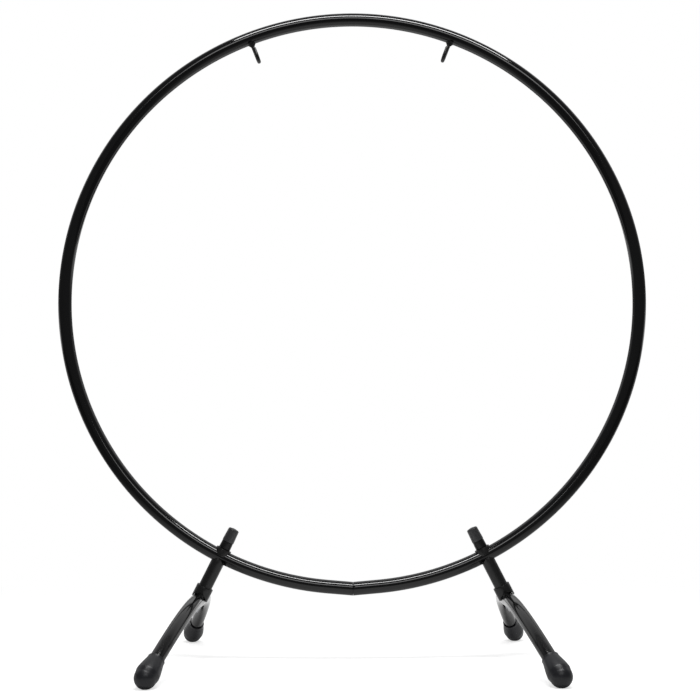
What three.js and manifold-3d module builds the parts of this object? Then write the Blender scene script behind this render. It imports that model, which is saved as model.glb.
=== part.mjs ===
// Round floor stand for a gong: a bent steel hoop on two arched foot tubes.
// Millimetres, +Z up, floor at zero, the side that faces the player towards -Y.
import * as THREE from 'three';
import { mergeVertices } from 'three/addons/utils/BufferGeometryUtils.js';
import Module from 'manifold-3d';

const wasm = await Module();
wasm.setup();

// Bent tube stock, shared by the hoop, the spacers and the feet
const tube_diameter = 25.4;
const tube_wall = 1.8;
const tube_radius = tube_diameter / 2;
const bore_radius = tube_radius - tube_wall;
const tube_sides = 16;
const bore_sides = 10;
const round_sides = 20;

// Clearances, and the overrun of every cutting tool
const seat_gap = 0.3;
const bolt_hole_clearance = 0.5;
const cut_overrun = 4;

// Hoop, measured to the middle of its tube, closed by one butt seam at the bottom
const hoop_radius = 555;
const hoop_steps = 72;
const spigot_steps = 5;
const seam_gap = 1.2;
const spigot_length = 88;
const spigot_wall = 2.2;

// Where the stems and the hooks stand on the hoop, from the bottom and from the top
const stem_angle = THREE.MathUtils.degToRad(26.7);
const hook_angle = THREE.MathUtils.degToRad(21.2);

// Gong hooks: a rod bent to a J that opens to the front, welded under the top of the hoop
const hook_rod_diameter = 7;
const hook_drop = 46;
const hook_bend_radius = 12;
const hook_mouth = 18;
const hook_steps = 22;
const weld_height = 6;
const weld_leg = 4.6;
const weld_waist_share = 0.3;

// Stem bolt through foot, collar, spacer and hoop
const bolt_diameter = 10;
const bolt_head_across_flats = 17;
const bolt_head_height = 6.4;
const bolt_chamfer = 1;
const bolt_engagement = 30;

// Saddle washer on the inside of the hoop
const saddle_diameter = 29.5;
const saddle_thickness = 2.6;
const saddle_skirt_above_axis = 1.5;

// Clamp nut and the soft cap pulled over its upper end
const nut_foot_diameter = 22;
const nut_shoulder_diameter = 20;
const nut_body_length = 14.5;
const nut_neck_diameter = 17.2;
const nut_neck_length = 22;
const nut_chamfer = 0.8;
const cap_wall = 1.3;
const cap_length = 27;
const cap_rim_swell = 0.6;
const cap_crown_draw = 0.1;
const cap_edge_radius = 1.4;

// Spacer tube between the hoop and the collar
const spacer_show = 50;
const spacer_lip_below_axis = 4.5;

// Saddle collar that sits on the foot tube
const collar_diameter = 32;
const collar_length = 24.3;
const collar_socket_depth = 6;
const collar_skirt_above_axis = 3;
const collar_edge = 0.8;

// Arched foot tube, pressed flat on top where the collar sits
const seat_half_length = 38;
const arch_radius = 300;
const arch_angle = THREE.MathUtils.degToRad(43);
const foot_steps = 38;
const press_depth = 9;
const press_half_length = 52;
const press_widening_share = 0.1;

// Washer between the bolt head and the underside of the foot tube
const head_washer_diameter = 21;
const head_washer_thickness = 2.4;
const head_washer_wrap_share = 0.33;

// Rubber feet: a sleeve over the tube end that flares to a shoulder and ends in a half ball
const foot_sleeve_wall = 2.2;
const foot_sleeve_lip = 4;
const foot_socket_depth = 30;
const foot_shoulder_height = 32;
const foot_shoulder_radius = 20.6;
const foot_ball_radius = 19.2;
const foot_ball_centre = 40;
const foot_flat_depth = 1;

// Heights in the stem's own frame: zero on the hoop's tube axis, up towards the hoop's centre
const bolt_hole_radius = bolt_diameter / 2 + bolt_hole_clearance;
const saddle_top = tube_radius + saddle_thickness;
const nut_foot = saddle_top + seat_gap;
const nut_shoulder = nut_foot + nut_body_length;
const nut_top = nut_shoulder + nut_neck_length;
const collar_top = -(tube_radius + spacer_show);
const collar_foot = collar_top - collar_length;
const socket_floor = collar_top - collar_socket_depth;
const foot_axis = collar_foot - collar_skirt_above_axis;
const head_seat = foot_axis - tube_radius - seat_gap;

// Depth of the facets of the hoop below its true circle
const hoop_sag = hoop_radius * (1 - Math.cos(Math.PI / hoop_steps));

// Ball centre of a rubber foot, along the stem, and the height of the hoop's centre above the floor
const ball_drop = arch_radius * (1 - Math.cos(arch_angle)) + foot_ball_centre * Math.sin(arch_angle);
const ball_from_centre = (hoop_radius - foot_axis + ball_drop) * Math.cos(stem_angle);
const hoop_centre_height = ball_from_centre + foot_ball_radius - foot_flat_depth;

const black_gloss = new THREE.MeshStandardMaterial({ color: 0x101114, roughness: 0.14, metalness: 0.1 });
const black_satin = new THREE.MeshStandardMaterial({ color: 0x17181a, roughness: 0.5, metalness: 0.1 });
const black_steel = new THREE.MeshStandardMaterial({ color: 0x1c1d1f, roughness: 0.42, metalness: 0.6 });
const rubber = new THREE.MeshStandardMaterial({ color: 0x1b1c1f, roughness: 0.55, metalness: 0 });
const vinyl = new THREE.MeshStandardMaterial({ color: 0x3b3c3f, roughness: 0.62, metalness: 0 });
const zinc = new THREE.MeshStandardMaterial({ color: 0x8f9398, roughness: 0.32, metalness: 0.9 });

// A closed three.js geometry as a solid, and a solid as a geometry
function solidOf(geometry) {
  const bare = geometry.clone();
  bare.deleteAttribute('normal');
  bare.deleteAttribute('uv');
  const merged = mergeVertices(bare);
  return new wasm.Manifold(new wasm.Mesh({
    numProp: 3,
    vertProperties: new Float32Array(merged.attributes.position.array),
    triVerts: new Uint32Array(merged.index.array),
  }));
}

function geometryOf(solid) {
  const { vertProperties, triVerts } = solid.getMesh();
  const geometry = new THREE.BufferGeometry();
  geometry.setAttribute('position', new THREE.BufferAttribute(vertProperties, 3));
  geometry.setIndex(new THREE.BufferAttribute(triVerts, 1));
  geometry.computeVertexNormals();
  return geometry;
}

// A round bar along Z between two heights, and one along X or Y through the origin's height
function bar(radius, low, high, sides = round_sides) {
  const geometry = new THREE.CylinderGeometry(radius, radius, high - low, sides);
  geometry.rotateX(Math.PI / 2);
  geometry.translate(0, 0, (low + high) / 2);
  return geometry;
}

function crossBar(radius, length, height, sides = 2 * round_sides) {
  const geometry = new THREE.CylinderGeometry(radius, radius, length, sides);
  geometry.rotateZ(Math.PI / 2);
  geometry.translate(0, 0, height);
  return geometry;
}

function lengthwiseBar(radius, length, height, sides = 2 * round_sides) {
  const geometry = new THREE.CylinderGeometry(radius, radius, length, sides);
  geometry.translate(0, 0, height);
  return geometry;
}

// A profile of [radius, height] pairs turned about Z
function turned(profile, sides = round_sides) {
  const geometry = new THREE.LatheGeometry(profile.map(([r, z]) => new THREE.Vector2(r, z)), sides);
  geometry.rotateX(Math.PI / 2);
  return geometry;
}

// Points of a quarter circle in a profile, from one angle to another
function arcPoints(centre_r, centre_z, radius, from, to, count) {
  return Array.from({ length: count + 1 }, (_, i) => {
    const angle = from + (to - from) * i / count;
    return [centre_r + radius * Math.cos(angle), centre_z + radius * Math.sin(angle)];
  });
}

// A round section, hollow when it has an inner radius
function ringShape(outer, outer_sides, inner = 0, inner_sides = 0) {
  const round = (radius, sides) => Array.from({ length: sides }, (_, i) => {
    const angle = 2 * Math.PI * i / sides;
    return new THREE.Vector2(radius * Math.cos(angle), radius * Math.sin(angle));
  });
  const shape = new THREE.Shape(round(outer, outer_sides));
  if (inner > 0) shape.holes.push(new THREE.Path(round(inner, inner_sides)));
  return shape;
}

function sweep(shape, curve, steps) {
  return new THREE.ExtrudeGeometry(shape, { steps, extrudePath: curve, bevelEnabled: false });
}

// The hoop's centre line between two angles from the bottom
class HoopArc extends THREE.Curve {
  constructor(from, to) {
    super();
    this.from = from;
    this.to = to;
  }
  getPoint(t, target = new THREE.Vector3()) {
    const angle = this.from + (this.to - this.from) * t;
    return target.set(hoop_radius * Math.sin(angle), 0, -hoop_radius * Math.cos(angle));
  }
}

// The foot tube's centre line: flat under the collar, an arc each way, straight into each foot
class FootArch extends THREE.Curve {
  getPoint(t, target = new THREE.Vector3()) {
    const arc_length = arch_radius * arch_angle;
    const half = seat_half_length + arc_length + foot_socket_depth;
    const along = (2 * t - 1) * half;
    const side = Math.sign(along);
    const past_seat = Math.max(Math.abs(along) - seat_half_length, 0);
    const angle = Math.min(past_seat, arc_length) / arch_radius;
    const straight = Math.max(past_seat - arc_length, 0);
    const seat = Math.min(Math.abs(along), seat_half_length);
    const y = seat + arch_radius * Math.sin(angle) + straight * Math.cos(angle);
    const drop = arch_radius * (1 - Math.cos(angle)) + straight * Math.sin(angle);
    return target.set(0, side * y, foot_axis - drop);
  }
}

// Presses a tube in from above where it is clamped: a valley between two rims, its sides spread
function pressSeat(geometry) {
  const position = geometry.attributes.position;
  for (let i = 0; i < position.count; i += 1) {
    const x = position.getX(i);
    const y = position.getY(i);
    const height = position.getZ(i) - foot_axis;
    const strength = Math.cos(Math.PI / 2 * Math.min(Math.abs(y) / press_half_length, 1)) ** 2;
    const upward = Math.max(height / Math.hypot(x, height), 0);
    position.setX(i, x * (1 + press_widening_share * strength));
    position.setZ(i, foot_axis + height - press_depth * strength * upward ** 4);
  }
  return geometry;
}

function hoopTube() {
  const half_gap = seam_gap / 2 / hoop_radius;
  const section = ringShape(tube_radius, tube_sides, bore_radius, bore_sides);
  const arc = new HoopArc(half_gap, 2 * Math.PI - half_gap);
  let solid = solidOf(sweep(section, arc, hoop_steps));
  for (const angle of [stem_angle, -stem_angle]) {
    const hole = bar(bolt_hole_radius, hoop_radius - tube_diameter, hoop_radius + tube_diameter, bore_sides);
    hole.rotateY(Math.PI - angle);
    solid = solid.subtract(solidOf(hole));
  }
  return geometryOf(solid);
}

function hoopSpigot() {
  const half_angle = spigot_length / 2 / hoop_radius;
  const radius = bore_radius * Math.cos(Math.PI / bore_sides) - hoop_sag - seat_gap;
  const section = ringShape(radius, bore_sides, radius - spigot_wall, bore_sides);
  return sweep(section, new HoopArc(-half_angle, half_angle), spigot_steps);
}

function gongHook() {
  const rod_radius = hook_rod_diameter / 2;
  const bend_height = tube_radius + hook_drop - rod_radius - hook_bend_radius;
  const path = new THREE.CurvePath();
  const shank_foot = new THREE.Vector3(0, 0, 0);
  const shank_end = new THREE.Vector3(0, 0, bend_height);
  path.add(new THREE.LineCurve3(shank_foot, shank_end));
  path.add(new HookBend(bend_height));
  const mouth_top = new THREE.Vector3(0, -2 * hook_bend_radius, bend_height);
  const mouth_end = new THREE.Vector3(0, -2 * hook_bend_radius, tube_radius + hook_mouth);
  path.add(new THREE.LineCurve3(mouth_top, mouth_end));
  const rod = sweep(ringShape(rod_radius, bore_sides), path, hook_steps);
  const weld_foot = tube_radius - weld_leg;
  const weld_edge = rod_radius + weld_leg;
  const weld = turned([
    [0, weld_foot],
    [weld_edge, weld_foot],
    [weld_edge, tube_radius],
    [rod_radius + weld_waist_share * weld_leg, tube_radius + weld_waist_share * weld_height],
    [rod_radius, tube_radius + weld_height],
    [0, tube_radius + weld_height],
  ], bore_sides);
  const sag = hoop_sag + weld_edge ** 2 / (2 * hoop_radius);
  const hoop_seat = crossBar(tube_radius + seat_gap + sag, 2 * tube_diameter, 0);
  return geometryOf(solidOf(rod).add(solidOf(weld)).subtract(solidOf(hoop_seat)));
}

// The half circle of a hook, from its shank forwards
class HookBend extends THREE.Curve {
  constructor(height) {
    super();
    this.height = height;
  }
  getPoint(t, target = new THREE.Vector3()) {
    const angle = Math.PI * t;
    const y = hook_bend_radius * (Math.cos(angle) - 1);
    return target.set(0, y, this.height + hook_bend_radius * Math.sin(angle));
  }
}

function saddleWasher() {
  const radius = saddle_diameter / 2;
  const sag = hoop_sag + radius ** 2 / (2 * hoop_radius);
  const body = solidOf(bar(radius, saddle_skirt_above_axis, saddle_top));
  const hoop_seat = solidOf(crossBar(tube_radius + seat_gap + sag, saddle_diameter + cut_overrun, 0));
  const hole = solidOf(bar(bolt_hole_radius, 0, saddle_top + cut_overrun, bore_sides));
  return geometryOf(body.subtract(hoop_seat).subtract(hole));
}

function spacerTube() {
  const body = solidOf(bar(tube_radius, socket_floor + seat_gap, -spacer_lip_below_axis));
  const bore = solidOf(bar(bore_radius, socket_floor - cut_overrun, cut_overrun));
  const hoop_seat = solidOf(crossBar(tube_radius + seat_gap, tube_diameter + cut_overrun, 0));
  return geometryOf(body.subtract(bore).subtract(hoop_seat));
}

function saddleCollar() {
  const radius = collar_diameter / 2;
  const profile = [
    [0, collar_foot],
    [radius, collar_foot],
    [radius, collar_top - collar_edge],
    [radius - collar_edge, collar_top],
    [0, collar_top],
  ];
  const body = solidOf(turned(profile));
  const socket = solidOf(bar(tube_radius + seat_gap, socket_floor, collar_top + cut_overrun));
  const hole = solidOf(bar(bolt_hole_radius, collar_foot - cut_overrun, collar_top, bore_sides));
  const channel = lengthwiseBar(tube_radius, collar_diameter + cut_overrun, 0);
  const spread = 1 + press_widening_share + seat_gap / tube_radius;
  channel.scale(spread, 1, 1 + seat_gap / tube_radius);
  channel.translate(0, 0, foot_axis);
  return geometryOf(body.subtract(socket).subtract(hole).subtract(solidOf(channel)));
}

function footTube() {
  const section = ringShape(tube_radius, tube_sides, bore_radius, bore_sides);
  const pressed = solidOf(pressSeat(sweep(section, new FootArch(), foot_steps)));
  const hole = bar(bolt_hole_radius, foot_axis - tube_diameter, foot_axis + tube_diameter, bore_sides);
  return geometryOf(pressed.subtract(solidOf(hole)));
}

function headWasher() {
  const top = head_seat + seat_gap + head_washer_wrap_share * tube_radius;
  const bottom = head_seat - head_washer_thickness;
  const body = solidOf(bar(head_washer_diameter / 2, bottom, top));
  const hole = solidOf(bar(bolt_hole_radius, bottom - cut_overrun, top + cut_overrun, bore_sides));
  const seat = lengthwiseBar(tube_radius, head_washer_diameter + cut_overrun, 0);
  const spread = 1 + press_widening_share + seat_gap / tube_radius;
  seat.scale(spread, 1, 1 + seat_gap / tube_radius);
  seat.translate(0, 0, foot_axis);
  return geometryOf(body.subtract(hole).subtract(solidOf(seat)));
}

function stemBolt() {
  const radius = bolt_diameter / 2;
  const head_top = head_seat - head_washer_thickness - seat_gap;
  const head_bottom = head_top - bolt_head_height;
  const head_radius = bolt_head_across_flats / Math.sqrt(3);
  const tip = nut_foot + bolt_engagement;
  const shaft = turned([
    [0, head_bottom + bolt_chamfer],
    [radius, head_bottom + bolt_chamfer],
    [radius, tip - bolt_chamfer],
    [radius - bolt_chamfer, tip],
    [0, tip],
  ], bore_sides);
  return geometryOf(solidOf(shaft).add(solidOf(bar(head_radius, head_bottom, head_top, 6))));
}

function clampNut() {
  const radius = nut_foot_diameter / 2;
  const neck = nut_neck_diameter / 2;
  const bore = bolt_diameter / 2 + seat_gap;
  return turned([
    [bore, nut_foot],
    [radius - nut_chamfer, nut_foot],
    [radius, nut_foot + nut_chamfer],
    [nut_shoulder_diameter / 2, nut_shoulder],
    [neck, nut_shoulder],
    [neck, nut_top - nut_chamfer],
    [neck - nut_chamfer, nut_top],
    [bore, nut_top],
    [bore, nut_foot],
  ]);
}

function gripCap() {
  const inside = nut_neck_diameter / 2 + seat_gap;
  const rim = inside + cap_wall + cap_rim_swell;
  const crown = inside + cap_wall - cap_crown_draw;
  const foot = nut_shoulder + seat_gap;
  const top = foot + cap_length;
  return turned([
    [inside, foot],
    [rim, foot],
    ...arcPoints(crown - cap_edge_radius, top - cap_edge_radius, cap_edge_radius, 0, Math.PI / 2, 3),
    [0, top],
    [0, top - cap_wall],
    [inside, top - cap_wall],
    [inside, foot],
  ]);
}

// Sleeve, shoulder and half ball, in a frame whose +Z runs down the tube and out of its end
function rubberFoot() {
  const sleeve = tube_radius + seat_gap + foot_sleeve_wall;
  return turned([
    [0, foot_socket_depth + seat_gap],
    [tube_radius + seat_gap, foot_socket_depth + seat_gap],
    [tube_radius + seat_gap, 0],
    [sleeve, 0],
    [sleeve, foot_sleeve_lip],
    [foot_shoulder_radius, foot_shoulder_height],
    ...arcPoints(0, foot_ball_centre, foot_ball_radius, 0, Math.PI / 2, 6),
  ]);
}

// The part of a placed foot that the floor squeezes flat
function flattenOnFloor(mesh) {
  mesh.updateWorldMatrix(true, false);
  const below = new THREE.BoxGeometry(2 * foot_ball_radius, 2 * foot_ball_radius, foot_ball_radius);
  const centre = new THREE.Vector3(0, 0, foot_ball_centre).applyMatrix4(mesh.matrixWorld);
  below.translate(centre.x, centre.y, -foot_ball_radius / 2);
  below.applyMatrix4(mesh.matrixWorld.clone().invert());
  mesh.geometry = geometryOf(solidOf(mesh.geometry).subtract(solidOf(below)));
}

function piece(name, geometry, material, parent) {
  const mesh = new THREE.Mesh(geometry, material.clone());
  mesh.name = name;
  parent.add(mesh);
  return mesh;
}

const stand = new THREE.Group();

// A frame on the hoop's tube axis whose +Z points to the hoop's centre, by its angle from the bottom
function station(angle) {
  const group = new THREE.Group();
  group.rotation.y = angle;
  group.position.set(
    -hoop_radius * Math.sin(angle),
    0,
    hoop_centre_height - hoop_radius * Math.cos(angle),
  );
  stand.add(group);
  return group;
}

const hoop = new THREE.Group();
hoop.position.z = hoop_centre_height;
stand.add(hoop);
piece('hoop_tube', hoopTube(), black_gloss, hoop);
piece('hoop_spigot', hoopSpigot(), black_steel, hoop);

for (const [side, turn] of [['left', 1], ['right', -1]]) {
  piece(`${side}_gong_hook`, gongHook(), black_satin, station(turn * (Math.PI - hook_angle)));

  const stem = station(turn * stem_angle);
  piece(`${side}_saddle_washer`, saddleWasher(), black_satin, stem);
  piece(`${side}_spacer_tube`, spacerTube(), black_satin, stem);
  piece(`${side}_saddle_collar`, saddleCollar(), black_satin, stem);
  piece(`${side}_foot_tube`, footTube(), black_gloss, stem);
  piece(`${side}_head_washer`, headWasher(), zinc, stem);
  piece(`${side}_stem_bolt`, stemBolt(), zinc, stem);
  piece(`${side}_clamp_nut`, clampNut(), black_steel, stem);
  piece(`${side}_grip_cap`, gripCap(), vinyl, stem);

  for (const [end, way] of [['front', -1], ['rear', 1]]) {
    const foot = piece(`${side}_${end}_rubber_foot`, rubberFoot(), rubber, stem);
    const reach = seat_half_length + arch_radius * Math.sin(arch_angle);
    foot.position.set(0, way * reach, foot_axis - arch_radius * (1 - Math.cos(arch_angle)));
    foot.rotation.x = -way * (Math.PI / 2 + arch_angle);
    flattenOnFloor(foot);
  }
}

export default stand;
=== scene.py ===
import math

import bmesh
import bpy
from mathutils import Matrix, Vector


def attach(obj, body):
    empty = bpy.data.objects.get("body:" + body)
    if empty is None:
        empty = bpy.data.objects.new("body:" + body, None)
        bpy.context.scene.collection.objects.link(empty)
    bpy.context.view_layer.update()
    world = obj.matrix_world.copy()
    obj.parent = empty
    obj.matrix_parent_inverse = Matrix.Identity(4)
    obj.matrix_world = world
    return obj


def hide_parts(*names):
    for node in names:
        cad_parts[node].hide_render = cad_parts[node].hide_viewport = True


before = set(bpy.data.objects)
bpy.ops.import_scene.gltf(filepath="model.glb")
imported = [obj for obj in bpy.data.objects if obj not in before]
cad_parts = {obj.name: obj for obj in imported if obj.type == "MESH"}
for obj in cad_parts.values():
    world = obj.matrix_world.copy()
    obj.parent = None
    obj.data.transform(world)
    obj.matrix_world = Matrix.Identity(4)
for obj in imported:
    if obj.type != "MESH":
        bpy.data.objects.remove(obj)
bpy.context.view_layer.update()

# Camera. It stands two metres in front, a third of a metre above the floor, and looks
# slightly up, so that the hoop, the hooks and both feet fill a square picture.
mm = 0.001
lens, film_width = 58.27, 36
nearest = 50 * mm
camera_spot = Vector((3.8 * mm, -2164.7 * mm, 337.6 * mm))
pitch, yaw, roll = math.radians(6.521), math.radians(-0.204), math.radians(-0.238)
ahead = Vector((math.sin(yaw) * math.cos(pitch), math.cos(yaw) * math.cos(pitch), math.sin(pitch)))
level = Vector((math.cos(yaw), -math.sin(yaw), 0))
upright = level.cross(ahead)
right = level * math.cos(roll) + upright * math.sin(roll)
top = upright * math.cos(roll) - level * math.sin(roll)

camera_data = bpy.data.cameras.new("camera")
camera_data.lens = lens
camera_data.sensor_width = film_width
camera_data.clip_start = nearest
camera = bpy.data.objects.new("camera", camera_data)
camera_turn = Matrix((right, top, -ahead)).transposed().to_quaternion()
camera.matrix_world = Matrix.LocRotScale(camera_spot, camera_turn, None)
bpy.context.scene.collection.objects.link(camera)
bpy.context.scene.camera = camera
bpy.context.scene.view_settings.view_transform = "Standard"

# Hoop tube. One steel tube, an inch across, is rolled to a full circle. Its ends meet in a
# butt seam at the bottom, and it is drilled for the two stem bolts and coated gloss black.
tube_radius = 12.7 * mm
bore_radius = 10.9 * mm
hoop_radius = 555 * mm
hoop_height = 690.796 * mm
seam_gap = 0.3 * mm
edge_break = 0.4 * mm
straight_ends = 47 * mm / hoop_radius
stem_angle = math.radians(26.7)
bolt_hole_radius = 5.5 * mm
drill_turn = math.radians(5)
hoop_steps, tube_sides, drill_sides = 288, 48, 32
haze_dullness, dust_dullness, dust_cover = 0.05, 0.25, 0.35
soft_crease = 38
merge_distance, sliver_width = 0.0005 * mm, 0.002 * mm
x_axis, y_axis = Vector((1, 0, 0)), Vector((0, 1, 0))


class Wire:
    """One output of a shader node, so that shader maths reads as Python expressions."""

    def __init__(self, tree, socket=None):
        self.tree = tree
        self.socket = socket

    def node(self, kind, settings, sockets, output=0):
        """Any node, with its settings and sockets filled in, as a wire from one output."""
        made = self.tree.nodes.new(kind)
        for key, value in settings.items():
            setattr(made, key, value)
        for key, value in sockets.items():
            put(made.inputs[key], value)
        return Wire(self.tree, made.outputs[output])

    def maths(self, operation, first, second):
        """A sum, a difference or a product of two numbers or wires."""
        return self.node("ShaderNodeMath", {"operation": operation}, {0: first, 1: second})

    def __add__(self, other):
        return self.maths("ADD", self, other)

    __radd__ = __add__

    def __sub__(self, other):
        return self.maths("SUBTRACT", self, other)

    def __rsub__(self, other):
        return self.maths("SUBTRACT", other, self)

    def __mul__(self, other):
        return self.maths("MULTIPLY", self, other)

    __rmul__ = __mul__


def put(socket, value):
    """Leads a wire to a socket, or sets the socket to a plain value."""
    if isinstance(value, Wire):
        value.tree.links.new(value.socket, socket)
    else:
        socket.default_value = value


def finish_tree(name):
    """A new material, its principled shader, and a wire with the place on the piece at rest."""
    made = bpy.data.materials.new(name)
    made.use_nodes = True
    place = Wire(made.node_tree).node("ShaderNodeTexCoord", {}, {}, "Object")
    return made, made.node_tree.nodes["Principled BSDF"], place


def feed(shader, **values):
    """Sets the shader's sockets, named in words joined by underscores, to numbers or wires."""
    for words, value in values.items():
        put(shader.inputs[words.replace("_", " ")], value)


def grain(place, size, detail):
    """Noise between 0 and 1 whose lumps are about one size across, in metres."""
    sockets = {"Vector": place, "Scale": 1 / size, "Detail": detail}
    return place.node("ShaderNodeTexNoise", {}, sockets)


def ease(value, low, high):
    """A soft change from 0 at the low end to 1 at the high end; low may be the larger."""
    sockets = {0: value, 1: low, 2: high}
    return value.node("ShaderNodeMapRange", {"interpolation_type": "SMOOTHSTEP"}, sockets)


def mixed(mask, low, high):
    """One colour where the mask is 0 and another where it is 1, by a Mix node's colours."""
    return mask.node("ShaderNodeMix", {"data_type": "RGBA"}, {0: mask, 6: low, 7: high}, 2)


def raised(height, distance, strength):
    """A normal bent by a height between 0 and 1, over a distance in metres."""
    sockets = {"Height": height, "Distance": distance, "Strength": strength}
    return height.node("ShaderNodeBump", {}, sockets)


def part_of(vector, axis):
    """One coordinate of a vector."""
    return vector.node("ShaderNodeSeparateXYZ", {}, {0: vector}, axis)


def grey(level, blue=0.0):
    """A grey as a colour, with a little more blue if asked for."""
    return (level, level, level + blue, 1)


def gloss_coat(name, roughness):
    """Gloss powder coat: black, with a fine orange peel, a faint haze and a little dust."""
    made, shader, place = finish_tree(name)
    peel = grain(place, size=2.2 * mm, detail=1)
    haze = grain(place, size=60 * mm, detail=3)
    dust = ease(grain(place, size=0.8 * mm, detail=0), low=0.74, high=0.8)
    upward = part_of(place.node("ShaderNodeNewGeometry", {}, {}, "Normal"), "Z")
    settled = dust * ease(upward, low=0.3, high=0.95)
    feed(
        shader,
        Base_Color=mixed(settled * dust_cover, grey(0.0035, 0.0004), grey(0.05)),
        Roughness=roughness + haze * haze_dullness + settled * dust_dullness,
        Specular_IOR_Level=0.6,
        Normal=raised(peel, distance=0.004 * mm, strength=0.5),
    )
    return made


def shade(mesh, crease):
    """Shades a mesh smooth, apart from edges that bend by more than the crease, in degrees."""
    mesh.shade_smooth()
    mesh.set_sharp_from_angle(angle=math.radians(crease))


def lofted(name, rings, looped, place=None, crease=soft_crease):
    """Skins rings of points into one closed solid, looped on itself or capped at its ends."""
    count, sides = len(rings), len(rings[0])
    shape = bmesh.new()
    corners = [[shape.verts.new(point) for point in ring] for ring in rings]
    for i in range(count if looped else count - 1):
        here, after = corners[i], corners[(i + 1) % count]
        for j in range(sides):
            k = (j + 1) % sides
            shape.faces.new((here[j], here[k], after[k], after[j]))
    if not looped:
        shape.faces.new(corners[0])
        shape.faces.new(corners[-1])
    bmesh.ops.remove_doubles(shape, verts=shape.verts, dist=merge_distance)
    bmesh.ops.recalc_face_normals(shape, faces=shape.faces)
    if place is not None:
        shape.transform(place)
    mesh = bpy.data.meshes.new(name)
    shape.to_mesh(mesh)
    shape.free()
    shade(mesh, crease)
    made = bpy.data.objects.new(name, mesh)
    bpy.context.scene.collection.objects.link(made)
    return made


def circle(centre, across, up, radius, sides):
    """A ring of points round a centre, in the plane of two directions."""
    turns = [2 * math.pi * j / sides for j in range(sides)]
    return [centre + radius * (math.cos(t) * across + math.sin(t) * up) for t in turns]


def reworked(piece, tools, operation, crease=soft_crease):
    """Cuts the tools out of a piece, or fuses them to it, for good."""
    shape = bmesh.new()
    shape.from_mesh(piece.data)
    bmesh.ops.triangulate(shape, faces=shape.faces)
    shape.to_mesh(piece.data)
    for tool in tools:
        step = piece.modifiers.new(operation.lower(), "BOOLEAN")
        step.object, step.operation, step.solver = tool, operation, "EXACT"
    bpy.context.view_layer.update()
    shown = piece.evaluated_get(bpy.context.evaluated_depsgraph_get())
    shape.clear()
    shape.from_mesh(shown.data)
    bmesh.ops.dissolve_degenerate(shape, dist=sliver_width, edges=shape.edges)
    piece.modifiers.clear()
    shape.to_mesh(piece.data)
    shape.free()
    shade(piece.data, crease)
    for tool in tools:
        bpy.data.objects.remove(tool)


def station(angle):
    """The place on the tube's axis at an angle from the bottom, its +Z to the hoop's centre."""
    down = hoop_radius * math.cos(angle)
    spot = Vector((-hoop_radius * math.sin(angle), 0, hoop_height - down))
    return Matrix.Translation(spot) @ Matrix.Rotation(angle, 4, "Y")


def fitted(piece, material, body, node):
    """Gives a piece its finish, and puts it in the place of its node."""
    piece.data.materials.clear()
    piece.data.materials.append(material)
    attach(piece, body)
    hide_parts(node)


def hoop_ring(angle, radius, sides):
    """A ring of the hoop by its angle from the seam, straight over the tube's last stretch."""
    outward = Vector((math.sin(angle), 0, -math.cos(angle)))
    off_seam = abs(math.remainder(angle, 2 * math.pi))
    reach = hoop_radius / math.cos(max(straight_ends - off_seam, 0))
    centre = Vector((0, 0, hoop_height)) + reach * outward
    return circle(centre, outward, y_axis, radius, sides)


def hoop_skin(start, end, outer, inner, steps, sides):
    """Rings of a bent tube from one angle to another, its outer edges broken at both ends."""
    ease_off = edge_break / hoop_radius
    margin = 2 * ease_off
    length = end - start - 2 * margin
    span = [start + margin + length * i / steps for i in range(steps + 1)]
    first = [(start, outer - edge_break), (start + ease_off / 3, outer - edge_break / 3)]
    last = [(end - ease_off / 3, outer - edge_break / 3), (end, outer - edge_break)]
    outside = first + [(angle, outer) for angle in span] + last
    inside = [(angle, inner) for angle in [end] + span[::-1] + [start]]
    return [hoop_ring(angle, radius, sides) for angle, radius in outside + inside]


def drill(place, height=0.0):
    """A rod as wide as the bolt hole, turned so that its corners miss those of the tube."""
    reach = 2 * tube_radius
    ends = [
        circle(Vector((0, 0, height + z)), x_axis, y_axis, bolt_hole_radius, drill_sides)
        for z in (-reach, reach)
    ]
    return lofted("drill", ends, looped=False, place=place @ Matrix.Rotation(drill_turn, 4, "Z"))


both_sides = (("left", 1), ("right", -1))
stems = {side: station(turn * stem_angle) for side, turn in both_sides}
gloss_black = gloss_coat("gloss_black", roughness=0.04)
half_seam = seam_gap / 2 / hoop_radius
far_end = 2 * math.pi - half_seam
hoop_rings = hoop_skin(half_seam, far_end, tube_radius, bore_radius, hoop_steps, tube_sides)
hoop = lofted("hoop", hoop_rings, looped=True)
reworked(hoop, [drill(stem) for stem in stems.values()], "DIFFERENCE")
fitted(hoop, gloss_black, "frame", "hoop_tube")

# Hoop spigot. A short sleeve of blackened steel sits inside the hoop at the seam and holds
# the two ends in line, and only a hair's breadth of it shows in the seam.
spigot_radius = 9.5 * mm
spigot_bore = 7.3 * mm
spigot_half = 44 * mm / hoop_radius
spigot_steps, spigot_sides = 24, 40
steel_dullness, line_dullness = 0.26, 0.14


def blackened_steel():
    """Blackened steel: fine turning lines over a dark oxide skin."""
    made, shader, place = finish_tree("black_steel")
    stretched = place.node("ShaderNodeMapping", {}, {0: place, "Scale": (1, 1, 9)})
    lines = grain(stretched, size=2.5 * mm, detail=3)
    cloud = grain(place, size=9 * mm, detail=3)
    feed(
        shader,
        Base_Color=mixed(cloud, grey(0.004), grey(0.01)),
        Roughness=steel_dullness + lines * line_dullness,
        Specular_IOR_Level=0.35,
        Normal=raised(lines, distance=0.02 * mm, strength=0.4),
    )
    return made


black_steel = blackened_steel()
spigot_rings = hoop_skin(
    -spigot_half, spigot_half, spigot_radius, spigot_bore, spigot_steps, spigot_sides
)
spigot = lofted("spigot", spigot_rings, looped=True)
fitted(spigot, black_steel, "frame", "hoop_spigot")

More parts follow.
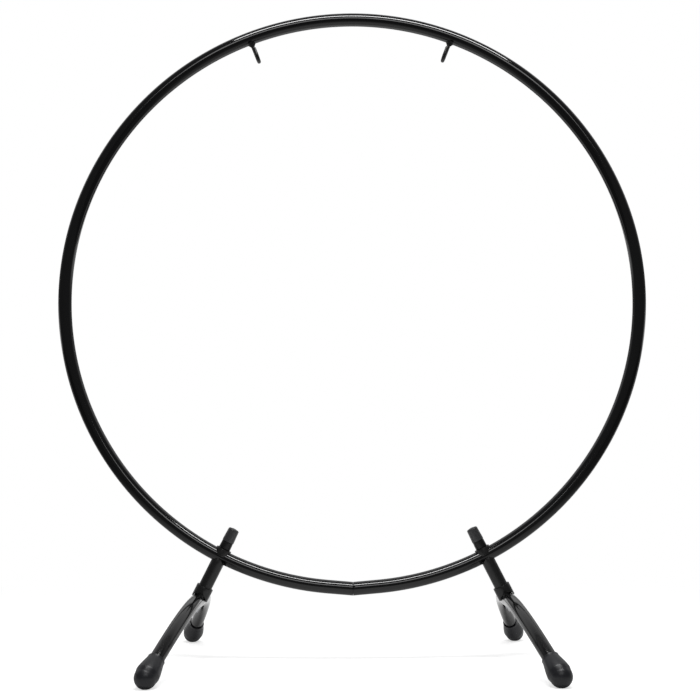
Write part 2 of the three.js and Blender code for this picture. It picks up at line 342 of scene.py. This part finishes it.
# Gong hooks. Each is a thin steel rod bent to a J that opens towards the player, its end
# rounded over, welded with a small bead under the top of the hoop and painted satin black.
hook_angle = math.radians(21.2)
rod_radius = 3.5 * mm
rod_sunk = 0.5 * mm
hook_bend = 12 * mm
hook_bend_height = 43.2 * mm
hook_free_end = 30.7 * mm
hook_rounding = (
    (1.1 * mm, 0.0),
    (0.7 * mm, 0.06 * mm),
    (0.35 * mm, 0.216 * mm),
    (0.12 * mm, 0.504 * mm),
    (0.0, 0.96 * mm),
)
hook_steps, rod_sides = 40, 32
weld_height = 6 * mm
weld_leg = 4.6 * mm
weld_hollow = 1.35
weld_ripple = 0.35 * mm
ripples, ripple_wander, wanders = 11, 0.6, 3
weld_overlap, weld_sunk, weld_lap = 0.2 * mm, 0.5 * mm, 0.1 * mm
weld_steps, weld_sides = 9, 48
weld_crease = 60
paint_dullness, cloud_dullness, tooth_dullness = 0.24, 0.08, 0.05


def satin_paint():
    """Satin black paint: a fine tooth, with slightly duller and glossier clouds."""
    made, shader, place = finish_tree("satin_black")
    tooth = grain(place, size=0.7 * mm, detail=2)
    cloud = grain(place, size=14 * mm, detail=2)
    feed(
        shader,
        Base_Color=mixed(cloud, grey(0.007), grey(0.01)),
        Roughness=paint_dullness + cloud * cloud_dullness + tooth * tooth_dullness,
        Specular_IOR_Level=0.5,
        Normal=raised(tooth, distance=0.03 * mm, strength=0.5),
    )
    return made


def grid(low, high, count):
    """Evenly spaced values from one to another, both of them included."""
    return [low + (high - low) * i / count for i in range(count + 1)]


def hook_rod(name, place):
    """The J of the rod in the hook's own frame: shank, half circle, and rounded free end."""
    spots = [(0.0, tube_radius - rod_sunk, 0.0, rod_radius)]
    spots.append((0.0, (tube_radius + hook_bend_height) / 2, 0.0, rod_radius))
    for bend in grid(0, math.pi, hook_steps):
        y = hook_bend * (math.cos(bend) - 1)
        spots.append((y, hook_bend_height + hook_bend * math.sin(bend), bend, rod_radius))
    for above, inward in hook_rounding:
        spots.append((-2 * hook_bend, hook_free_end + above, math.pi, rod_radius - inward))
    rings = []
    for y, z, bend, radius in spots:
        outward = Vector((0, math.cos(bend), math.sin(bend)))
        rings.append(circle(Vector((0, y, z)), x_axis, outward, radius, rod_sides))
    return lofted(name, rings, looped=False, place=place)


def weld_bead(place):
    """A rippled fillet round the rod's foot, melted onto the tube."""
    rings = []
    for t in grid(0, 1, weld_steps) + [1.0, 0.0]:
        ring = []
        buried = len(rings) > weld_steps
        for j in range(weld_sides):
            a = 2 * math.pi * j / weld_sides
            ripple = weld_ripple * math.sin(ripples * a + ripple_wander * math.sin(wanders * a))
            foot = rod_radius + weld_leg + ripple
            radius = rod_radius - weld_overlap + (foot - rod_radius + weld_overlap) * t
            x, y = radius * math.cos(a), radius * math.sin(a)
            surface = math.sqrt(tube_radius ** 2 - y ** 2) + x ** 2 / (2 * hoop_radius)
            lift = (weld_height + ripple) * (1 - t) ** weld_hollow
            lift += ripple * math.sin(math.pi * t)
            ring.append(Vector((x, y, surface + (-weld_sunk if buried else lift - weld_lap))))
        rings.append(ring)
    return lofted("weld_bead", rings, looped=True, place=place, crease=weld_crease)


satin_black = satin_paint()
for side, turn in both_sides:
    place = station(turn * (math.pi - hook_angle))
    hook = hook_rod(f"{side}_hook", place)
    reworked(hook, [weld_bead(place)], "UNION", weld_crease)
    fitted(hook, satin_black, "frame", f"{side}_gong_hook")

# Saddle washers. Each is a short turned slug of steel, coped underneath so that its skirt
# laps over the inside of the hoop, drilled for the stem bolt and painted satin black.
saddle_radius = 14.75 * mm
saddle_top = 15.3 * mm
saddle_skirt = 1.5 * mm
saddle_cope = 13.2 * mm
saddle_edge = 0.7 * mm
saddle_corner = 0.2 * mm
corner_share, bore_edge_share = 0.3, 0.4
round_sides, cope_rings = 96, 14


def turned(name, profile, place, looped=True, sides=round_sides, crease=soft_crease):
    """A solid turned about +Z from pairs of a radius, which may depend on the angle, and a
    height, which may depend on the spot."""
    rings = []
    for radius, height in profile:
        ring = []
        for j in range(sides):
            a = 2 * math.pi * j / sides
            r = radius(a) if callable(radius) else radius
            x, y = r * math.cos(a), r * math.sin(a)
            ring.append(Vector((x, y, height(x, y) if callable(height) else height)))
        rings.append(ring)
    return lofted(name, rings, looped, place, crease)


def raise_by(shape, step):
    """The same surface, moved up by a step."""
    return lambda x, y: shape(x, y) + step


def hoop_side(reach, least, way):
    """Height of a cope that fits the hoop, above its axis with way 1 and below it with -1,
    and that stays at least so far from the axis."""
    def height(x, y):
        cope = math.sqrt(max(reach ** 2 - y ** 2, 0))
        return way * max(cope, least) + x ** 2 / (2 * hoop_radius)
    return height


saddle_under = hoop_side(saddle_cope, saddle_skirt, 1)
saddle_profile = [(r, saddle_under) for r in grid(bolt_hole_radius, saddle_radius, cope_rings)]
saddle_profile += [
    (saddle_radius, saddle_top - saddle_edge),
    (saddle_radius - saddle_corner, saddle_top - corner_share * saddle_edge),
    (saddle_radius - saddle_edge, saddle_top),
    (bolt_hole_radius + saddle_edge, saddle_top),
    (bolt_hole_radius, saddle_top - bore_edge_share * saddle_edge),
]
for side, stem in stems.items():
    saddle = turned(f"{side}_saddle", saddle_profile, stem)
    fitted(saddle, satin_black, "frame", f"{side}_saddle_washer")

# Spacer tubes. Each is a straight length of the same steel tube, painted satin black, its
# upper end coped to a fish mouth that fits the underside of the hoop, its lower end plugged
# into the collar.
spacer_foot = -68.4 * mm
spacer_lip = 4.5 * mm
spacer_cope = 13 * mm
mouth_margin = 12 * mm
mouth_edge = 0.35 * mm
mouth_corner_in, mouth_corner_down = 0.12 * mm, 0.1 * mm

mouth = hoop_side(spacer_cope, spacer_lip, -1)
mid_wall = tube_radius - (tube_radius - bore_radius) / 2
spacer_profile = [
    (bore_radius, spacer_foot),
    (tube_radius, spacer_foot),
    (tube_radius, raise_by(mouth, -mouth_margin)),
    (tube_radius, raise_by(mouth, -mouth_edge)),
    (tube_radius - mouth_corner_in, raise_by(mouth, -mouth_corner_down)),
    (tube_radius - mouth_edge, mouth),
    (mid_wall, mouth),
    (bore_radius, mouth),
]
for side, stem in stems.items():
    spacer = turned(f"{side}_spacer", spacer_profile, stem)
    fitted(spacer, satin_black, "frame", f"{side}_spacer_tube")

# Saddle collars. Each is a wider turned slug of steel with a socket for the spacer above,
# its lower edge arched to sit on the foot tube, drilled for the bolt and painted satin
# black.
collar_radius = 16 * mm
collar_top = -62.7 * mm
collar_foot = -87 * mm
collar_edge = 0.9 * mm
collar_corner = 0.25 * mm
collar_corner_in, collar_corner_up = 0.12 * mm, 0.15 * mm
collar_band = 8 * mm
socket_radius = 13 * mm
socket_floor = -68.7 * mm
socket_edge = 0.3 * mm
foot_axis = -90 * mm
channel_half_width = 14.27 * mm
channel_half_height = 13 * mm
press_depth = 9 * mm
press_half = 52 * mm
press_widening = 0.1
press_power = 4
boss_radius = 11.5 * mm
boss_gap = 0.3 * mm
boss_rings, arch_rings = 6, 8


def arch_over_foot(limit, way):
    """Height of a channel over or under the foot tube, stopped at a limit."""
    def height(x, y):
        rise = channel_half_height * math.sqrt(max(1 - (x / channel_half_width) ** 2, 0))
        return max(limit, foot_axis + rise) if way > 0 else min(limit, foot_axis - rise)
    return height


def press_share(y):
    """How far the press reaches at a distance along the foot tube, 1 at its middle."""
    return math.cos(math.pi / 2 * min(abs(y) / press_half, 1)) ** 2


def on_valley(x, y):
    """Height of the collar's boss over the valley pressed in the foot tube."""
    strength = press_share(y)
    across = x / (1 + press_widening * strength)
    rise = math.sqrt(tube_radius ** 2 - across ** 2)
    sunk = press_depth * strength * (rise / tube_radius) ** press_power
    return foot_axis + rise - sunk + boss_gap


arch = arch_over_foot(collar_foot, 1)
arch_end = collar_radius - collar_edge / 2
collar_profile = [(r, on_valley) for r in grid(bolt_hole_radius, boss_radius, boss_rings)]
collar_profile += [(r, arch) for r in grid(boss_radius, arch_end, arch_rings)]
collar_profile += [
    (collar_radius - collar_corner_in, raise_by(arch, collar_corner_up)),
    (collar_radius, raise_by(arch, collar_edge / 2)),
    (collar_radius, collar_top - collar_band),
    (collar_radius, collar_top - collar_edge),
    (collar_radius - collar_corner, collar_top - corner_share * collar_edge),
    (collar_radius - collar_edge, collar_top),
    (socket_radius + socket_edge, collar_top),
    (socket_radius, collar_top - socket_edge),
    (socket_radius, socket_floor),
    (bolt_hole_radius, socket_floor),
]
for side, stem in stems.items():
    collar = turned(f"{side}_collar", collar_profile, stem)
    fitted(collar, satin_black, f"{side}_foot", f"{side}_saddle_collar")

# Foot tubes. Each is one steel tube bent to an arch from front to rear, pressed in from
# above at its middle where the collar clamps it, drilled for the bolt and coated gloss
# black.
seat_half = 38 * mm
arch_radius = 300 * mm
arch_angle = math.radians(43)
socket_depth = 30 * mm
foot_sides, foot_steps = 72, 190


def foot_line(along):
    """The foot tube's middle line and its slope, by the distance from the seat's middle."""
    way = 1 if along >= 0 else -1
    seat = min(abs(along), seat_half)
    past = max(abs(along) - seat_half, 0)
    bend = min(past / arch_radius, arch_angle)
    straight = max(past - arch_radius * arch_angle, 0)
    y = seat + arch_radius * math.sin(bend) + straight * math.cos(bend)
    drop = arch_radius * (1 - math.cos(bend)) + straight * math.sin(bend)
    return Vector((0, way * y, foot_axis - drop)), way * bend


def pressed(point):
    """Where a point of the tube goes when the tube is pressed in at its seat."""
    height = point.z - foot_axis
    strength = press_share(point.y)
    upward = max(height / math.hypot(point.x, height), 0)
    point.x *= 1 + press_widening * strength
    point.z -= press_depth * strength * upward ** press_power
    return point


foot_coat = gloss_coat("gloss_black_foot", roughness=0.1)
half_length = seat_half + arch_radius * arch_angle + socket_depth
for side, stem in stems.items():
    skins = []
    for radius, order in ((tube_radius, 1), (bore_radius, -1)):
        for i in range(foot_steps + 1)[::order]:
            spot, slope = foot_line(half_length * (2 * i / foot_steps - 1))
            lift = Vector((0, math.sin(slope), math.cos(slope)))
            ring = circle(spot, x_axis, lift, radius, foot_sides)
            skins.append([pressed(point) for point in ring])
    foot = lofted(f"{side}_foot_arch", skins, looped=True, place=stem)
    reworked(foot, [drill(stem, foot_axis)], "DIFFERENCE")
    fitted(foot, foot_coat, f"{side}_foot", f"{side}_foot_tube")

# Head washers. Each is a thick steel washer, zinc-plated and hollowed on top to fit the
# underside of the foot tube, so that the bolt head pulls square.
head_washer_radius = 10.5 * mm
head_washer_foot = -105.4 * mm
head_washer_rim = -98.47 * mm
head_washer_edge = 0.5 * mm
seat_rings = 8
plate_dullness, brush_dullness = 0.28, 0.15


def zinc_plate():
    """Bright zinc plate: pale bluish metal with fine brushing and soft clouds."""
    made, shader, place = finish_tree("zinc")
    stretched = place.node("ShaderNodeMapping", {}, {0: place, "Scale": (12, 1, 1)})
    brushed = grain(stretched, size=3 * mm, detail=3)
    cloud = grain(place, size=5 * mm, detail=3)
    feed(
        shader,
        Base_Color=mixed(cloud, (0.42, 0.44, 0.47, 1), (0.56, 0.57, 0.58, 1)),
        Metallic=1.0,
        Roughness=plate_dullness + brushed * brush_dullness,
        Normal=raised(brushed, distance=0.02 * mm, strength=0.4),
    )
    return made


zinc = zinc_plate()
seat = arch_over_foot(head_washer_rim, -1)
washer_profile = [(r, seat) for r in grid(bolt_hole_radius, head_washer_radius, seat_rings)]
washer_profile += [
    (head_washer_radius, head_washer_foot + head_washer_edge),
    (head_washer_radius - head_washer_edge, head_washer_foot),
    (bolt_hole_radius, head_washer_foot),
]
for side, stem in stems.items():
    washer = turned(f"{side}_shaped_washer", washer_profile, stem)
    fitted(washer, zinc, f"{side}_foot", f"{side}_head_washer")

# Stem bolts. One long zinc-plated hexagon bolt of steel comes up through each foot tube,
# collar, spacer and hoop and into the clamp nut, and only its head shows, from below. Its
# thread is drawn as plain rings.
bolt_radius = 5 * mm
bolt_head_top = -105.7 * mm
bolt_head_foot = -112.1 * mm
bolt_flat = 8.5 * mm
bolt_tip = 45.6 * mm
tip_bevel, tip_inset = 1.5 * mm, 1 * mm
head_face_radius = 7.9 * mm
head_side, head_edge = 1.5 * mm, 0.5 * mm
dish_floor_radius, dish_rim_radius, dish_depth = 5.6 * mm, 6 * mm, 0.3 * mm
corner_reach = 1.13
bevel_inset, bevel_start, bevel_rise = 0.15 * mm, 0.93, 5.4 * mm
thread_start = -20 * mm
thread_pitch = 1.5 * mm
thread_depth = 0.45 * mm
root_share = 0.3
bolt_sides = 48
hard_crease = 30


def hexagon(inset=0.0):
    """The radius of a hexagon at an angle, held within its rounded corners."""
    def radius(a):
        off = (a + math.pi / 6) % (math.pi / 3) - math.pi / 6
        return min(bolt_flat / math.cos(off), bolt_flat * corner_reach) - inset
    return radius


def head_bevel(x, y):
    """Height of the bevel round the bolt head's lower face, which climbs towards the corners."""
    return bolt_head_foot + bevel_rise * max(math.hypot(x, y) / bolt_flat - bevel_start, 0)


bolt_profile = [
    (0.0, bolt_head_foot + dish_depth),
    (dish_floor_radius, bolt_head_foot + dish_depth),
    (dish_rim_radius, bolt_head_foot),
    (head_face_radius, bolt_head_foot),
    (hexagon(bevel_inset), head_bevel),
    (hexagon(), bolt_head_foot + head_side),
    (hexagon(), bolt_head_top - head_edge),
    (head_face_radius, bolt_head_top),
    (bolt_radius, bolt_head_top),
    (bolt_radius, thread_start),
]
for i in range(int((bolt_tip - tip_bevel - thread_start) / thread_pitch)):
    crest = thread_start + thread_pitch * (i + 0.5)
    bolt_profile.append((bolt_radius - thread_depth, crest - root_share * thread_pitch))
    bolt_profile.append((bolt_radius, crest))
bolt_profile += [(bolt_radius - tip_inset, bolt_tip), (0.0, bolt_tip)]
for side, stem in stems.items():
    bolt = turned(
        f"{side}_bolt", bolt_profile, stem, looped=False, sides=bolt_sides, crease=hard_crease
    )
    fitted(bolt, zinc, f"{side}_foot", f"{side}_stem_bolt")

# Clamp nuts. Each is a long round nut of blackened steel, screwed down the stem bolt onto
# the saddle washer, with a narrower neck that carries the grip cap.
nut_foot_radius = 11.2 * mm
nut_shoulder_radius = 10.7 * mm
neck_radius = 8.6 * mm
nut_bore = 5.3 * mm
nut_foot = 15.6 * mm
nut_shoulder = 30.1 * mm
nut_top = 52.1 * mm
nut_edge, nut_corner = 0.8 * mm, 0.25 * mm
shoulder_edge = 0.4 * mm
bore_edge = 0.3 * mm

nut_profile = [
    (nut_bore, nut_foot + bore_edge),
    (nut_bore + bore_edge, nut_foot),
    (nut_foot_radius - nut_edge, nut_foot),
    (nut_foot_radius - nut_corner, nut_foot + nut_corner),
    (nut_foot_radius, nut_foot + nut_edge),
    (nut_shoulder_radius, nut_shoulder - shoulder_edge),
    (nut_shoulder_radius - shoulder_edge, nut_shoulder),
    (neck_radius, nut_shoulder),
    (neck_radius, nut_top - nut_edge),
    (neck_radius - nut_edge, nut_top),
    (nut_bore, nut_top),
]
for side, stem in stems.items():
    nut = turned(f"{side}_nut", nut_profile, stem)
    fitted(nut, black_steel, f"{side}_nut", f"{side}_clamp_nut")

# Grip caps. Each is a dipped cap of dark grey vinyl pulled over the nut's neck, with a
# rounded crown and a slightly thicker lower rim.
cap_bore = 8.9 * mm
cap_foot = 30.4 * mm
cap_top = 57.4 * mm
cap_rim = 11.3 * mm
cap_crown = 10.4 * mm
cap_rounding = 0.9 * mm
cap_dome = 2.2 * mm
cap_ceiling = 1.3 * mm
cap_lip = 0.3 * mm
cap_rim_band = 2 * mm
crown_steps, dome_steps = 8, 8
vinyl_dullness, skin_dullness = 0.3, 0.12


def soft_vinyl():
    """Dipped vinyl: dark grey, with a soft sheen, a faint mottle and a fine skin."""
    made, shader, place = finish_tree("grey_vinyl")
    skin = grain(place, size=0.5 * mm, detail=2)
    mottle = grain(place, size=5 * mm, detail=3)
    feed(
        shader,
        Base_Color=mixed(mottle, grey(0.02, 0.0015), grey(0.03, 0.003)),
        Roughness=vinyl_dullness + skin * skin_dullness,
        Specular_IOR_Level=0.9,
        Normal=raised(skin, distance=0.05 * mm, strength=0.5),
    )
    return made


grey_vinyl = soft_vinyl()
cap_profile = [
    (0.0, cap_top - cap_ceiling),
    (cap_bore, cap_top - cap_ceiling),
    (cap_bore, cap_foot),
    (cap_rim - cap_lip, cap_foot),
    (cap_rim, cap_foot + cap_lip),
    (cap_rim, cap_foot + cap_rim_band),
]
for i in range(crown_steps):
    t = math.pi / 2 * i / crown_steps
    inward, below = cap_rounding * (1 - math.cos(t)), cap_rounding * (1 - math.sin(t))
    cap_profile.append((cap_crown - inward, cap_top - cap_dome - below))
for t in grid(0, 1, dome_steps):
    cap_profile.append(((cap_crown - cap_rounding) * (1 - t), cap_top - cap_dome * (1 - t) ** 2))
for side, stem in stems.items():
    cap = turned(f"{side}_cap", cap_profile, stem, looped=False)
    fitted(cap, grey_vinyl, f"{side}_nut", f"{side}_grip_cap")

# Rubber feet. Each is moulded in black rubber: a sleeve over the tube's end that swells to
# a shoulder and ends in a half ball, squeezed flat where it stands on the floor.
sleeve_bore = 13 * mm
sleeve_radius = 15.2 * mm
sleeve_lip = 4 * mm
sleeve_edge, sleeve_bore_edge = 0.4 * mm, 0.3 * mm
sleeve_clearance = 0.3 * mm
shoulder_height = 32 * mm
shoulder_radius = 20.6 * mm
shoulder_band, shoulder_step = 1 * mm, 0.05 * mm
ball_radius = 19.19 * mm
ball_centre = 40 * mm
mould_line, mould_line_half = 0.15 * mm, 0.3 * mm
flare_round, flare_power = 0.2, 4
flare_steps, ball_steps = 16, 24
rubber_dullness, bloom_dullness = 0.3, 0.1


def moulded_rubber():
    """Moulded rubber: black with a soft bluish sheen, a fine grain and a faint bloom."""
    made, shader, place = finish_tree("black_rubber")
    skin = grain(place, size=0.45 * mm, detail=2)
    bloom = grain(place, size=16 * mm, detail=3)
    feed(
        shader,
        Base_Color=mixed(bloom, (0.008, 0.0083, 0.0105, 1), (0.013, 0.0136, 0.017, 1)),
        Roughness=rubber_dullness + bloom * bloom_dullness,
        Specular_IOR_Level=0.5,
        Normal=raised(skin, distance=0.05 * mm, strength=0.5),
    )
    return made


black_rubber = moulded_rubber()
swell, flare = shoulder_radius - sleeve_radius, shoulder_height - sleeve_lip
rubber_profile = [
    (0.0, socket_depth + sleeve_clearance),
    (sleeve_bore, socket_depth + sleeve_clearance),
    (sleeve_bore, sleeve_edge),
    (sleeve_bore + sleeve_bore_edge, 0.0),
    (sleeve_radius - sleeve_edge, 0.0),
    (sleeve_radius, sleeve_edge),
]
for t in grid(0, 1, flare_steps):
    fullness = t + flare_round * (t - t ** flare_power)
    rubber_profile.append((sleeve_radius + swell * fullness, sleeve_lip + flare * t))
rubber_profile += [
    (shoulder_radius - shoulder_step, shoulder_height + shoulder_band),
    (ball_radius, ball_centre - mould_line_half),
    (ball_radius + mould_line, ball_centre),
]
for t in grid(0, math.pi / 2, ball_steps)[1:]:
    rubber_profile.append((ball_radius * math.cos(t), ball_centre + ball_radius * math.sin(t)))
foot_reach = seat_half + arch_radius * math.sin(arch_angle)
foot_drop = foot_axis - arch_radius * (1 - math.cos(arch_angle))
for side, stem in stems.items():
    for end, way in (("front", -1), ("rear", 1)):
        place = stem @ Matrix.Translation((0, way * foot_reach, foot_drop))
        place = place @ Matrix.Rotation(-way * (math.pi / 2 + arch_angle), 4, "X")
        name = f"{side}_{end}_rubber"
        rubber = turned(name, rubber_profile, place, looped=False, crease=hard_crease)
        for corner in rubber.data.vertices:
            corner.co.z = max(corner.co.z, 0)
        fitted(rubber, black_rubber, f"{side}_foot", f"{name}_foot")

# Floor. A plain pale studio sheet under the stand that keeps its soft shadow, and runs out
# into the white background where the camera sees it. Reflections and bounced light see it
# differently: pale in an oval round the stand with painted shade further out, and with a
# painted glow on the floor behind the stand.
floor_radius = 30.0
floor_drop = 0.1 * mm
shadow_fade = (0.6, 1.8)
sheet_middle, sheet_squash = 0.9, 0.5
# Where the floor's painted shade begins, round the pale oval.
painted_shade_edge = (0.4, 1.3)
# Where the painted glow on the floor behind the stand rises and falls away.
glow_rise, glow_fall = (0.1, 0.8), (4.0, 2.0)


def length_of(vector):
    """The length of a vector."""
    return vector.node("ShaderNodeVectorMath", {"operation": "LENGTH"}, {0: vector}, "Value")


def light_path(start, kind):
    """1 for rays of one kind and 0 for all others."""
    return start.node("ShaderNodeLightPath", {}, {}, kind)


def glowing(start, strength):
    """A plain white glow."""
    return start.node("ShaderNodeEmission", {}, {"Color": grey(1.0), "Strength": strength})


def pale_floor():
    """Pale paper: the camera sees its shadows near the stand and white further out, and
    reflections see a pale oval with painted shade further out and a painted glow that grows
    brighter behind the stand."""
    made, shader, place = finish_tree("floor")
    shift, squash = (0, -sheet_squash * sheet_middle, 0), (1, sheet_squash, 1)
    oval = place.node("ShaderNodeMapping", {}, {0: place, "Location": shift, "Scale": squash})
    back = part_of(place, "Y")
    # A painted glow on the floor behind the stand, seen only in reflections and bounced light.
    painted_glow = ease(back, *glow_rise) * ease(back, *glow_fall)
    feed(
        shader,
        # Painted shade: the floor turns from pale to dark grey outside an oval round the stand.
        Base_Color=mixed(ease(length_of(oval), *painted_shade_edge), grey(0.8), grey(0.12)),
        Roughness=0.9,
        Specular_IOR_Level=0.1,
        # The painted glow on the floor behind the stand.
        Emission_Color=mixed(painted_glow, grey(0.0), grey(1.0)),
        Emission_Strength=0.55,
    )
    bare = Wire(place.tree, shader.outputs[0])
    paper = place.node("ShaderNodeBsdfDiffuse", {}, {"Color": grey(0.8)})
    near = place.node("ShaderNodeAddShader", {}, {0: paper, 1: glowing(place, strength=0.6)})
    far = glowing(place, strength=1.0)
    fade = ease(length_of(place), *shadow_fade)
    shown = place.node("ShaderNodeMixShader", {}, {0: fade, 1: near, 2: far})
    seen = light_path(place, "Is Camera Ray")
    whole = place.node("ShaderNodeMixShader", {}, {0: seen, 1: bare, 2: shown})
    put(place.tree.nodes["Material Output"].inputs["Surface"], whole)
    return made


rim = circle(Vector((0, 0, -floor_drop)), x_axis, y_axis, floor_radius, round_sides)
sheet = bpy.data.meshes.new("floor")
sheet.from_pydata(rim, [], [range(round_sides)])
floor = bpy.data.objects.new("floor", sheet)
bpy.context.scene.collection.objects.link(floor)
sheet.materials.append(pale_floor())

# Light. A white studio that reflections see dim in front of the stand and brighter behind it.
# A long, narrow soft box above, a little in front of the stand, and a weaker one high in
# front draw the pale lines along the tube.
room_level, dim_level = 0.38, 0.1
horizon_level, upper_level = 0.9, 0.5

world = bpy.data.worlds.new("studio")
world.use_nodes = True
bpy.context.scene.world = world
sky = Wire(world.node_tree)
seen = light_path(sky, "Is Camera Ray") + light_path(sky, "Is Transmission Ray")
mirrored = light_path(sky, "Is Glossy Ray")
ray = sky.node("ShaderNodeTexCoord", {}, {}, "Generated")
behind = ease(part_of(ray, "Y"), low=-0.15, high=0.5)
rise = part_of(ray, "Z")
horizon, upper = ease(rise, low=0.16, high=0.04), ease(rise, low=0.15, high=0.55)
glow = dim_level + behind * (dim_level + upper * upper_level + horizon * horizon_level)
strength = seen + mirrored * glow + (1 - seen - mirrored) * room_level
background = world.node_tree.nodes["Background"]
put(background.inputs["Color"], grey(1.0))
put(background.inputs["Strength"], strength)


def soft_box(name, spot, aim, width, height, power):
    """A rectangular soft box at a spot, facing another, with its power in watts."""
    data = bpy.data.lights.new(name, "AREA")
    data.shape, data.size, data.size_y, data.energy = "RECTANGLE", width, height, power
    made = bpy.data.objects.new(name, data)
    made.location = spot
    made.rotation_mode = "QUATERNION"
    made.rotation_quaternion = (Vector(aim) - Vector(spot)).to_track_quat("-Z", "Y")
    bpy.context.scene.collection.objects.link(made)


soft_box(
    "overhead_box",
    spot=(0.13, -0.7, 2.15),
    aim=(0.13, -0.7, 0),
    width=1.4,
    height=0.24,
    power=25,
)
soft_box(
    "front_box",
    spot=(0.15, -2.6, 2.0),
    aim=(0.1, 0, 0.7),
    width=1.6,
    height=0.7,
    power=10,
)
